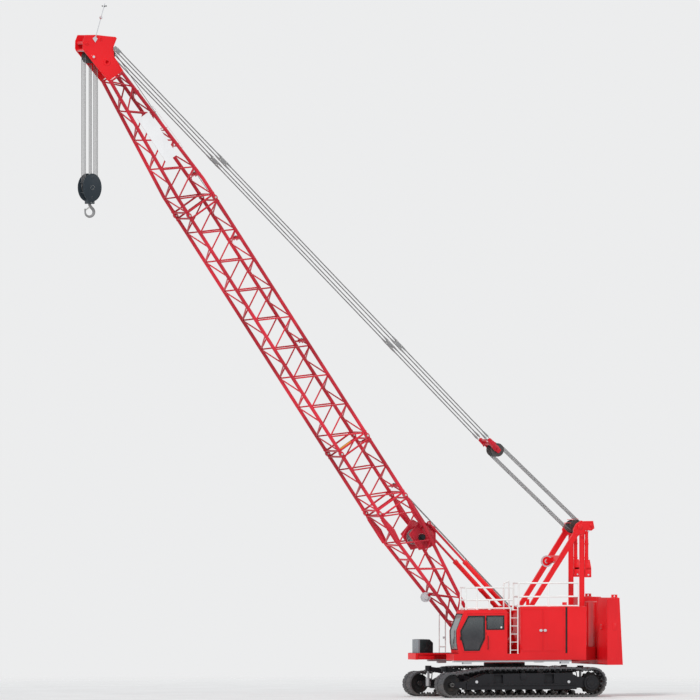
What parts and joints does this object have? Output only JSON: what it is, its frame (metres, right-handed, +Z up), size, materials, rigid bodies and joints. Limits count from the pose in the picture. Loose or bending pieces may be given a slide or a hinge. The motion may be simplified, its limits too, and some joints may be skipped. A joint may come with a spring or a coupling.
{
  "type": "crawler crane with lattice boom",
  "caption": "Crawler crane: a slewing upper works with cab, houses and gantry on crawler tracks, and a luffing lattice boom with pendants, backstops, falls and a swivelling hook.",
  "frame": {"origin": "on the slewing axis at ground level, midway between the tracks", "axes": "+X forward along the boom, +Y to the left (the cab's side), +Z up"},
  "size_m": [24.2837, 4.87, 29.6441],
  "materials": {
    "red_paint": "semi-gloss machine enamel, lightly weathered",
    "lattice_red": "semi-gloss enamel worn pale on the tubes' edges",
    "charcoal_paint": "satin dark grey chassis paint, dusty",
    "track_steel": "bare cast steel, dull and dusty",
    "running_steel": "dark greasy steel",
    "machined_steel": "machined, satin",
    "light_grey_paint": "satin light grey",
    "counterweight_paint": "painted casting, semi-gloss red",
    "white_paint": "gloss white tube paint",
    "rope_steel": "greased wire rope",
    "link_steel": "semi-gloss enamel on plate",
    "cab_glazing": "dark tinted glass",
    "interior_dark": "matt dark trim",
    "engine_paint": "painted casting",
    "panel_white": "painted sheet, white",
    "block_paint": "slate blue-grey enamel, scuffed",
    "hook_steel": "forged steel, dark",
    "sheave_steel": "cast, worn bright in the grooves",
    "cabinet_grey": "satin pale grey"
  },
  "bodies": {
    "undercarriage": {"track_left": "track_steel", "track_right": "track_steel", "crawler_frame_left": "charcoal_paint", "crawler_frame_right": "charcoal_paint", "running_gear": "running_steel", "travel_drives": "charcoal_paint", "carbody": "charcoal_paint", "carbody_jacks": "machined_steel", "slew_ring": "running_steel"},
    "upper": {"rotating_bed": "red_paint", "side_decks": "red_paint", "edge_strips": "light_grey_paint", "house_left": "red_paint", "house_right": "red_paint", "engine_block": "engine_paint", "cab_shell": "red_paint", "cab_glass": "cab_glazing", "cab_inside": "interior_dark", "ladder": "white_paint", "handrails": "white_paint", "winch_drums": "machined_steel", "winch_plates": "red_paint", "gantry_frame": "red_paint", "gantry_sheaves": "sheave_steel", "gantry_links": "red_paint", "gantry_rods": "red_paint", "counterweight_tray": "counterweight_paint", "counterweight_blocks": "counterweight_paint", "equipment_box": "cabinet_grey", "grab_rail": "white_paint", "boom_hoist_ropes": "rope_steel"},
    "house_door_front_left": {"house_door_front_left": "red_paint"},
    "house_door_rear_left": {"house_door_rear_left": "red_paint"},
    "house_door_front_right": {"house_door_front_right": "red_paint"},
    "house_door_rear_right": {"house_door_rear_right": "red_paint"},
    "cab_door": {"cab_door": "red_paint", "cab_door_glass": "cab_glazing"},
    "boom": {"boom_base": "lattice_red", "boom_insert_short": "lattice_red", "boom_insert_long": "lattice_red", "boom_top": "lattice_red", "boom_head": "red_paint", "head_sheaves": "sheave_steel", "base_winch_drum": "machined_steel", "cable_reel": "machined_steel", "sign_panel": "panel_white", "tip_pole": "light_grey_paint", "pendants": "rope_steel", "bridle": "link_steel"},
    "backstop_tubes": {"backstop_tubes": "red_paint"},
    "backstop_rods": {"backstop_rods": "machined_steel"},
    "falls": {"hoist_falls": "rope_steel"},
    "hook_block": {"hook_block": "block_paint"},
    "hook": {"hook": "hook_steel"}
  },
  "joints": [
    {"name": "slewing", "type": "hinge", "parent": "undercarriage", "child": "upper", "pos_m": [0, 0, 0], "axis": [0, 0, 1], "continuous": true},
    {"name": "boom_luff", "type": "hinge", "parent": "upper", "child": "boom", "pos_m": [1.077, 0, 1.95], "axis": [0, -1, 0], "range_deg": [-25.86, 24.14], "deforming": ["boom_hoist_ropes"]},
    {"name": "backstop_tilt", "type": "hinge", "parent": "upper", "child": "backstop_tubes", "pos_m": [-0.25, 0, 3.43], "axis": [0, -1, 0], "range_deg": [-26.4, 24.64]},
    {"name": "backstop_slide", "type": "slide", "parent": "backstop_tubes", "child": "backstop_rods", "axis": [0.697, 0, 0.717], "range_m": [-0.812, 0.87]},
    {"name": "falls_plumb", "type": "hinge", "parent": "boom", "child": "falls", "pos_m": [18.83062, 0, 27.36641], "axis": [0, -1, 0], "range_deg": [-24.2, 25.92]},
    {"name": "hook_hoist", "type": "slide", "parent": "falls", "child": "hook_block", "axis": [0, 0, 1], "range_m": [-10, 2.4], "deforming": ["hoist_falls"]},
    {"name": "hook_swivel", "type": "hinge", "parent": "hook_block", "child": "hook", "pos_m": [18.83062, 0, 20.75], "axis": [0, 0, 1], "continuous": true},
    {"name": "cab_door_hinge", "type": "hinge", "parent": "upper", "child": "cab_door", "pos_m": [1.478, 1.7, 0], "axis": [0, 0, 1], "range_deg": [0, 100]},
    {"name": "house_door_front_left_hinge", "type": "hinge", "parent": "upper", "child": "house_door_front_left", "pos_m": [-0.165, 1.7, 0], "axis": [0, 0, -1], "range_deg": [0, 100]},
    {"name": "house_door_rear_left_hinge", "type": "hinge", "parent": "upper", "child": "house_door_rear_left", "pos_m": [-2.105, 1.7, 0], "axis": [0, 0, 1], "range_deg": [0, 100]},
    {"name": "house_door_front_right_hinge", "type": "hinge", "parent": "upper", "child": "house_door_front_right", "pos_m": [-0.165, -1.7, 0], "axis": [0, 0, 1], "range_deg": [0, 100]},
    {"name": "house_door_rear_right_hinge", "type": "hinge", "parent": "upper", "child": "house_door_rear_right", "pos_m": [-2.105, -1.7, 0], "axis": [0, 0, -1], "range_deg": [0, 100]}
  ],
  "couplings": [
    {"joint": "backstop_tilt", "follows": "boom_luff", "ratio": 1.02},
    {"joint": "backstop_slide", "follows": "boom_luff", "m_per_rad": -1.92},
    {"joint": "falls_plumb", "follows": "boom_luff", "ratio": -1}
  ]
}
